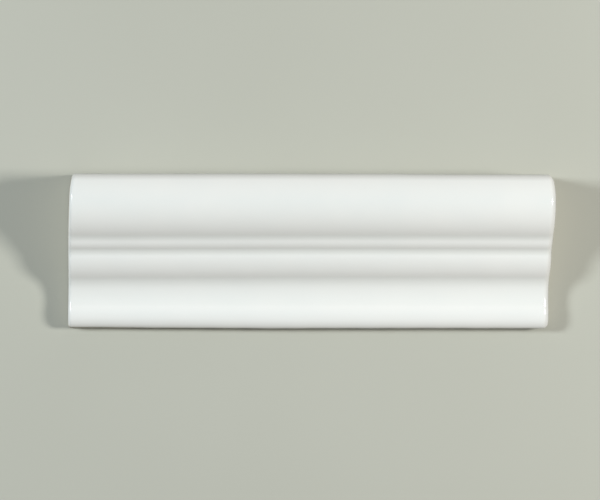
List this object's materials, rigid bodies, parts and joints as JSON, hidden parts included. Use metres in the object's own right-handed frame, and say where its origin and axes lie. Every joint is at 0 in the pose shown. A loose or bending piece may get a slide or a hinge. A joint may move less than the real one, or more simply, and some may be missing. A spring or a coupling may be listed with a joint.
{
  "type": "ceramic moulding tile",
  "caption": "White glazed ceramic dado moulding with a torus, listel, ovolo and cove on its face, and a hollow, grooved back for bonding to a wall.",
  "frame": {"origin": "middle of the back's outline, on the plane of the back that lies against the wall", "axes": "+X along the moulding, +Y up the wall towards the torus, +Z out of the wall"},
  "size_m": [0.15, 0.0478, 0.0218],
  "materials": {
    "glaze": "gloss"
  },
  "bodies": {
    "root": {"moulding_tile": "glaze"}
  },
  "joints": []
}
